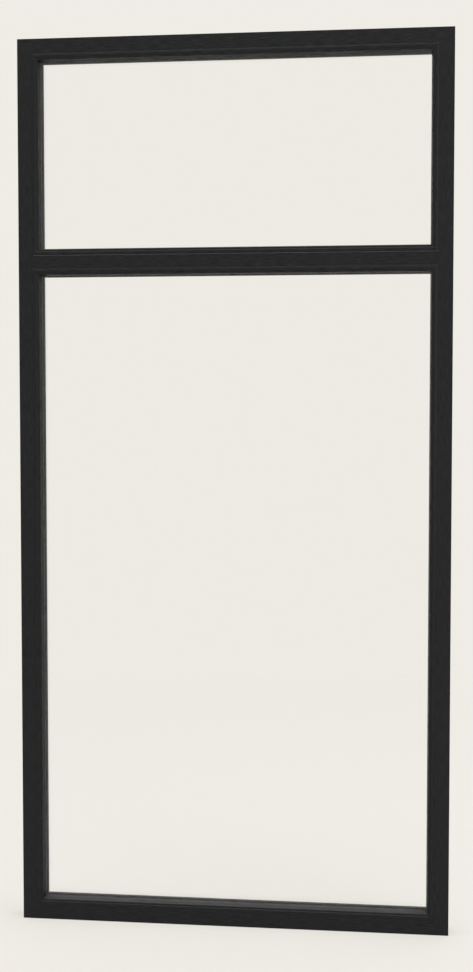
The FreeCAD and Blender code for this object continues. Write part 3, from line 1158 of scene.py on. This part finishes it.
class SharedEffects:
    """The node groups that several finishes use.

    A noise is given by its detail and roughness, after its scale where the group sets that, and a
    range by the two values between which a mask rises.
    """

    STREAK_NOISE = (1.0, 3.0, 0.55)
    PORE_NOISE = (1.0, 2.0, 0.5)
    PORE_SHORTER, PORE_NARROWER = 2.3, 4.7  # than a streak
    PORE_LAYER = 3.1  # third coordinate, which keeps pores apart from streaks
    PORE_RANGE = (0.53, 0.68)
    PORE_DEPTH = 0.35
    TONE_RANGE = (0.3, 0.7)
    STIPPLE_NOISE = (2.0, 0.5)
    CLOUD_NOISE = (35.0, 3.0, 0.6)
    DUST_NOISE = (18.0, 6.0, 0.65)
    DUST_RANGE = (0.2, 0.8)
    DUST_LEAST = 0.6  # share of the film in its thinnest patches
    UP_RANGE = (0.45, 0.95)  # of the normal's upward part; the film that grows with it is partly painted top light
    UP_LEAST = 0.02  # share of the film on a surface that doesn't face up

    def __init__(self) -> None:
        """Build each group once."""
        self.grain = self.make_grain()
        self.stipple = self.make_stipple()
        self.dust_and_top_light = self.make_dust_and_top_light()

    def make_grain(self) -> Tree:
        """Embossed wood grain: long streaks with short pores, stretched along the first axis.

        Returns:
            The group.
        """
        sizes = {"Coordinates": "Vector", "Streak Length": "Float", "Streak Width": "Float"}
        board = EffectBoard("embossed_grain", sizes, ("Height", "Tone"))
        place = board.add("SeparateXYZ", {0: board.given["Coordinates"]}).outputs
        along = board.math("DIVIDE", place[0], board.given["Streak Length"])
        across = board.math("DIVIDE", place[1], board.given["Streak Width"])
        streak_at = board.add("CombineXYZ", {0: along, 1: across}).outputs[0]
        streak = board.noise(streak_at, *self.STREAK_NOISE)
        short = board.math("MULTIPLY", along, self.PORE_SHORTER)
        narrow = board.math("MULTIPLY", across, self.PORE_NARROWER)
        pore_at = board.add("CombineXYZ", {0: short, 1: narrow, 2: self.PORE_LAYER}).outputs[0]
        pores = board.ramp(board.noise(pore_at, *self.PORE_NOISE), *self.PORE_RANGE)
        sunk = board.math("MULTIPLY", pores, self.PORE_DEPTH)
        tone = board.ramp(streak, *self.TONE_RANGE)
        return board.done({"Height": board.math("SUBTRACT", streak, sunk), "Tone": tone})

    def make_stipple(self) -> Tree:
        """Even fine stipple, as rubber and moulded plastic have.

        Returns:
            The group.
        """
        sizes = {"Position": "Vector", "Scale": "Float"}
        board = EffectBoard("fine_stipple", sizes, ("Height", "Tone"))
        place = board.given["Position"]
        fine = board.noise(place, board.given["Scale"], *self.STIPPLE_NOISE)
        tone = board.ramp(board.noise(place, *self.CLOUD_NOISE), *self.TONE_RANGE)
        return board.done({"Height": fine, "Tone": tone})

    def make_dust_and_top_light(self) -> Tree:
        """A slightly patchy film of dust, thicker where a surface faces up, which also paints top
        light on faces that face up.

        Returns:
            The group.
        """
        sizes = {"Position": "Vector", "Facing Up": "Float", "Amount": "Float"}
        board = EffectBoard("settled_dust_and_top_light", sizes, ("Mask",))
        patchy = board.noise(board.given["Position"], *self.DUST_NOISE)
        patch = board.ramp(patchy, *self.DUST_RANGE, self.DUST_LEAST)
        up = board.ramp(board.given["Facing Up"], *self.UP_RANGE, self.UP_LEAST)
        film = board.math("MULTIPLY", patch, up)
        return board.done({"Mask": board.math("MULTIPLY", film, board.given["Amount"])})


@dataclass(frozen=True)
class Finish:
    """What every finish starts from: a material and the shared effects."""

    name: str
    effects: SharedEffects

    def start(self) -> tuple[Material, Board, Socket]:
        """Make the material.

        Returns:
            The material, a board on its nodes and the place on the piece.
        """
        material = bpy.data.materials.new(self.name)
        board = Board.emptied(material)
        return material, board, board.add("TexCoord").outputs["Object"]

    def dust_and_top_light(self, board: Board, position: Socket, amount: float) -> Socket:
        """Lay dust, which on faces that face up is also painted top light.

        Args:
            board: Where the material's nodes are added.
            position: The place on the piece.
            amount: Share of dust and painted top light where a surface faces up.

        Returns:
            Mask of the settled dust and painted top light.
        """
        normal = board.add("NewGeometry").outputs["Normal"]
        up = board.add("SeparateXYZ", {0: normal}).outputs[2]
        inputs = {"Position": position, "Facing Up": up, "Amount": amount}
        return board.add("Group", inputs, node_tree=self.effects.dust_and_top_light).outputs[0]


def grey(level: float) -> Colour:
    """A neutral colour."""
    return level, level, level


@dataclass(frozen=True)
class Stippled(Finish):
    """Rubber, sealant or moulded plastic: one dark colour with a fine even stipple."""

    dark: Colour = grey(0.006)
    light: Colour = grey(0.012)
    dust_and_top_light_colour: Colour = (0.154, 0.157, 0.161)
    dust_and_top_light_amount: float = 0.4
    roughness: float = 0.7
    roughness_spread: float = 0.08
    specular: float = 0.25
    stipple: float = 1800.0
    depth: float = 0.00002

    def relief(self, board: Board, position: Socket) -> Node:
        """The effect that gives the finish its Height and its Tone."""
        inputs = {"Position": position, "Scale": self.stipple}
        return board.add("Group", inputs, node_tree=self.effects.stipple)

    def worn_and_highlit(self, board: Board, colour: Socket, rough: Socket) -> tuple[Socket, Socket]:
        """Colour and roughness along the edges, which here are as everywhere."""
        return colour, rough

    def make(self) -> Material:
        """Make the material.

        The tone goes between the two colours and shifts the roughness by its spread, the height
        is a bump, and dust, which is also painted top light where a face faces up, lies over the
        colour.

        Returns:
            The material.
        """
        material, board, position = self.start()
        relief = self.relief(board, position).outputs
        dull = self.roughness + self.roughness_spread
        bright = self.roughness - self.roughness_spread
        plain = board.mix(relief["Tone"], self.dark, self.light)
        even = board.ramp(relief["Tone"], 0.0, 1.0, dull, bright)
        colour, rough = self.worn_and_highlit(board, plain, even)
        dust_and_top_light = self.dust_and_top_light(board, position, self.dust_and_top_light_amount)
        bump = board.add("Bump", {"Distance": self.depth, "Height": relief["Height"]})
        inputs = {
            "Base Color": board.mix(dust_and_top_light, colour, self.dust_and_top_light_colour),
            "Roughness": rough,
            "Specular IOR Level": self.specular,
            "Normal": bump.outputs[0],
        }
        board.add("OutputMaterial", {0: board.add("BsdfPrincipled", inputs).outputs[0]})
        return material


@dataclass(frozen=True)
class Foil(Stippled):
    """Satin black foil with an embossed grain that runs along each member."""

    dark: Colour = (0.0082, 0.0088, 0.0097)
    light: Colour = (0.0220, 0.0226, 0.0236)
    highlight_colour: Colour = (0.27, 0.28, 0.29)  # light grey of the painted highlight along the transom's upper rounded edge
    # Pale dust on faces that face up, partly painted top light.
    dust_and_top_light_amount: float = 0.37
    roughness: float = 0.455
    specular: float = 0.1
    streak_length: float = 0.030
    streak_width: float = 0.0017
    depth: float = 0.00011
    polish: float = 0.10

    def relief(self, board: Board, position: Socket) -> Node:
        """The grain, on the map that runs along and around a member."""
        inputs = {
            "Coordinates": board.add("UVMap", uv_map=GRAIN_MAP).outputs[0],
            "Streak Length": self.streak_length,
            "Streak Width": self.streak_width,
        }
        return board.add("Group", inputs, node_tree=self.effects.grain)

    def worn_and_highlit(self, board: Board, colour: Socket, rough: Socket) -> tuple[Socket, Socket]:
        """Rub the rounded edges smoother, and paint a highlight in light grey along the transom's
        upper one.

        Args:
            board: Where the material's nodes are added.
            colour: The foil's colour.
            rough: The foil's roughness.

        Returns:
            Colour and roughness with the edges.
        """
        edge = board.add("Attribute", attribute_name=ARRIS_MAP).outputs["Fac"]
        # Painted highlight: light grey where the map marks the transom's upper rounded edge.
        highlit_share = board.ramp(edge, EASED, PAINTED_HIGHLIGHT)
        polished = board.math("MULTIPLY", edge, self.polish)
        return board.mix(highlit_share, colour, self.highlight_colour), board.math("SUBTRACT", rough, polished)


@dataclass(frozen=True)
class ClearGlass(Finish):
    """Clear float glass with a faint roller wave, which lets the lamps' light through."""

    clear: Colour = (0.990, 0.992, 0.990)
    hazed: Colour = (0.978, 0.980, 0.978)
    index: float = 1.45
    wave: tuple[float, float, float] = (2.2, 1.0, 0.3)  # scale, detail and roughness of the noise
    depth: float = 0.0002

    def make(self) -> Material:
        """Make the material.

        Returns:
            The material.
        """
        material, board, position = self.start()
        dust_and_top_light = self.dust_and_top_light(board, position, 1.0)
        wave = board.noise(position, *self.wave)
        inputs = {
            "Base Color": board.mix(dust_and_top_light, self.clear, self.hazed),
            "Roughness": 0.0,
            "IOR": self.index,
            "Transmission Weight": 1.0,
            "Normal": board.add("Bump", {"Distance": self.depth, "Height": wave}).outputs[0],
        }
        glass, through = board.add("BsdfPrincipled", inputs), board.add("BsdfTransparent")
        shadow = board.add("LightPath").outputs["Is Shadow Ray"]
        board.add("OutputMaterial", {0: board.either(shadow, glass, through)})
        return material


class Finishes:
    """Every finish of the window."""

    def __init__(self) -> None:
        """Make each material once."""
        effects = SharedEffects()
        self.jamb_foil = Foil("black_upright_foil", effects).make()
        # The level members' foil has a darker dark and a lighter light than the upright one's:
        # painted light and shade of the grain, which catches the top light more where it runs
        # across it.
        self.rail_foil = Foil(
            "black_level_foil_painted_grain_light",
            effects,
            dark=(0.0056, 0.0062, 0.0071),
            light=(0.0246, 0.0252, 0.0262),
            polish=0.02,
        ).make()
        # The rubber's thick film on faces that face up is partly painted top light.
        self.rubber = Stippled(
            "black_glazing_rubber", effects, dark=grey(0.026), light=grey(0.038), dust_and_top_light_amount=0.8
        ).make()
        self.spacer = Stippled(
            "grey_spacer_bar",
            effects,
            dark=grey(0.056),
            light=grey(0.072),
            roughness=0.5,
            stipple=900.0,
            dust_and_top_light_amount=0.0,
        ).make()
        self.sealant = Stippled(
            "black_edge_sealant", effects, roughness=0.55, stipple=600.0, dust_and_top_light_amount=0.0
        ).make()
        self.block = Stippled(
            "grey_setting_block",
            effects,
            dark=grey(0.06),
            light=grey(0.09),
            roughness=0.5,
            dust_and_top_light_amount=0.0,
        ).make()
        self.cap = Stippled(
            "black_moulded_cap", effects, roughness=0.42, stipple=1200.0, dust_and_top_light_amount=0.3
        ).make()
        self.glass = ClearGlass("clear_float_glass", effects).make()


# Studio


@dataclass(frozen=True)
class Softbox:
    """A soft rectangular lamp, which isn't seen itself, nor through the glass."""

    name: str
    place: Point
    aim: Point
    size: tuple[float, float]
    power: float

    def build(self) -> None:
        """Make the lamp and turn it to the point that it is aimed at."""
        data = bpy.data.lights.new(self.name, "AREA")
        data.shape = "RECTANGLE"
        data.size, data.size_y = self.size
        data.energy = self.power
        lamp = linked(self.name, data)
        lamp.location = self.place
        x, y, z = np.subtract(self.aim, self.place)
        pitch = math.atan2(-z, math.hypot(x, y))
        lamp.rotation_euler = (math.pi / 2.0 - pitch, 0.0, math.atan2(y, x) - math.pi / 2.0)
        lamp.visible_camera = False
        lamp.visible_transmission = False


@dataclass
class Studio:
    """Camera, pale floor, pale surroundings and soft lamps."""

    pale: Colour = (0.863, 0.839, 0.783)
    camera_place: Point = (0.5577, -4.3103, 1.4800)
    camera_dip: float = 3.22
    camera_turn: float = 7.277
    lens: float = 57.963
    sensor: float = 36.0
    ambient: float = 0.80
    floor_reach: float = 30.0
    floor_fade: tuple[float, float] = (1.2, 4.0)
    floor_glow: float = 0.6
    softboxes: tuple[Softbox, ...] = (
        Softbox("overhead_softbox", (0.4, -0.2, 5.2), (0.2, 0.0, 0.0), (5.0, 4.0), 90.0),
        Softbox("right_softbox", (3.4, -2.4, 2.4), (0.0, 0.0, 1.2), (1.8, 3.0), 33.0),
    )

    def build(self) -> None:
        """Set up everything round the window."""
        self.add_camera()
        self.add_floor()
        self.add_world()
        for softbox in self.softboxes:
            softbox.build()
        bpy.context.scene.view_settings.view_transform = "Standard"

    def add_camera(self) -> None:
        """The camera that the photograph's straight edges give."""
        data = bpy.data.cameras.new("camera")
        data.lens = self.lens
        data.sensor_width = self.sensor
        camera = linked("camera", data)
        camera.location = self.camera_place
        turns = (90.0 - self.camera_dip, 0.0, self.camera_turn)
        camera.rotation_euler = [math.radians(turn) for turn in turns]
        bpy.context.scene.camera = camera

    def add_floor(self) -> None:
        """A flat floor that takes the shadow and fades into the surroundings where it is seen."""
        signs = np.array([(-1, -1, 0), (1, -1, 0), (1, 1, 0), (-1, 1, 0)])
        mesh = bpy.data.meshes.new("floor")
        mesh.from_pydata((signs * self.floor_reach).tolist(), [], [range(len(signs))])
        floor = linked("floor", mesh)
        material = bpy.data.materials.new("pale_floor")
        board = Board.emptied(material)
        place = board.add("TexCoord").outputs["Object"]
        distance = board.add("VectorMath", {0: place}, operation="LENGTH").outputs["Value"]
        fade = board.ramp(distance, *self.floor_fade, self.floor_glow)
        shown = board.math("MULTIPLY", fade, self.seen(board))
        matt = board.add("BsdfDiffuse", {"Color": self.pale})
        glow = board.add("Emission", {"Color": self.pale, "Strength": 1.0})
        board.add("OutputMaterial", {0: board.either(shown, matt, glow)})
        mesh.materials.append(material)

    @staticmethod
    def seen(board: Board) -> Socket:
        """Tell rays that show something from rays that light it.

        Args:
            board: Where the nodes are added.

        Returns:
            1 for a ray that shows something, straight, in gloss or through glass, or else 0.
        """
        path = board.add("LightPath").outputs
        seen = board.math("MAXIMUM", path["Is Camera Ray"], path["Is Glossy Ray"])
        return board.math("MAXIMUM", seen, path["Is Transmission Ray"])

    def add_world(self) -> None:
        """Pale surroundings for what is seen, and an even light for what is lit."""
        world = bpy.data.worlds.new("surroundings")
        board = Board.emptied(world)
        fill = board.add("Background", {"Color": grey(1.0), "Strength": self.ambient})
        pale = board.add("Background", {"Color": self.pale, "Strength": 1.0})
        board.add("OutputWorld", {0: board.either(self.seen(board), fill, pale)})
        bpy.context.scene.world = world


def main() -> None:
    """Build the window and its studio, and log how near each new piece's box lies to its CAD
    node's.
    """
    logging.basicConfig(level=logging.INFO, format="%(name)s: %(message)s")
    finishes = Finishes()
    welded = WeldedFrame(finishes)
    welded.build()
    divide, shift = welded.transom_level, welded.shift
    GlazedLight("upper", welded.between(divide - shift, welded.height), finishes).build()
    GlazedLight("lower", welded.between(0.0, divide + shift), finishes).build()
    DrainCaps("sill", welded.sill_drain_level, finishes.cap).build()
    DrainCaps("transom", divide - welded.transom_drain_drop, finishes.cap).build()
    Studio().build()


if __name__ == "__main__":
    main()
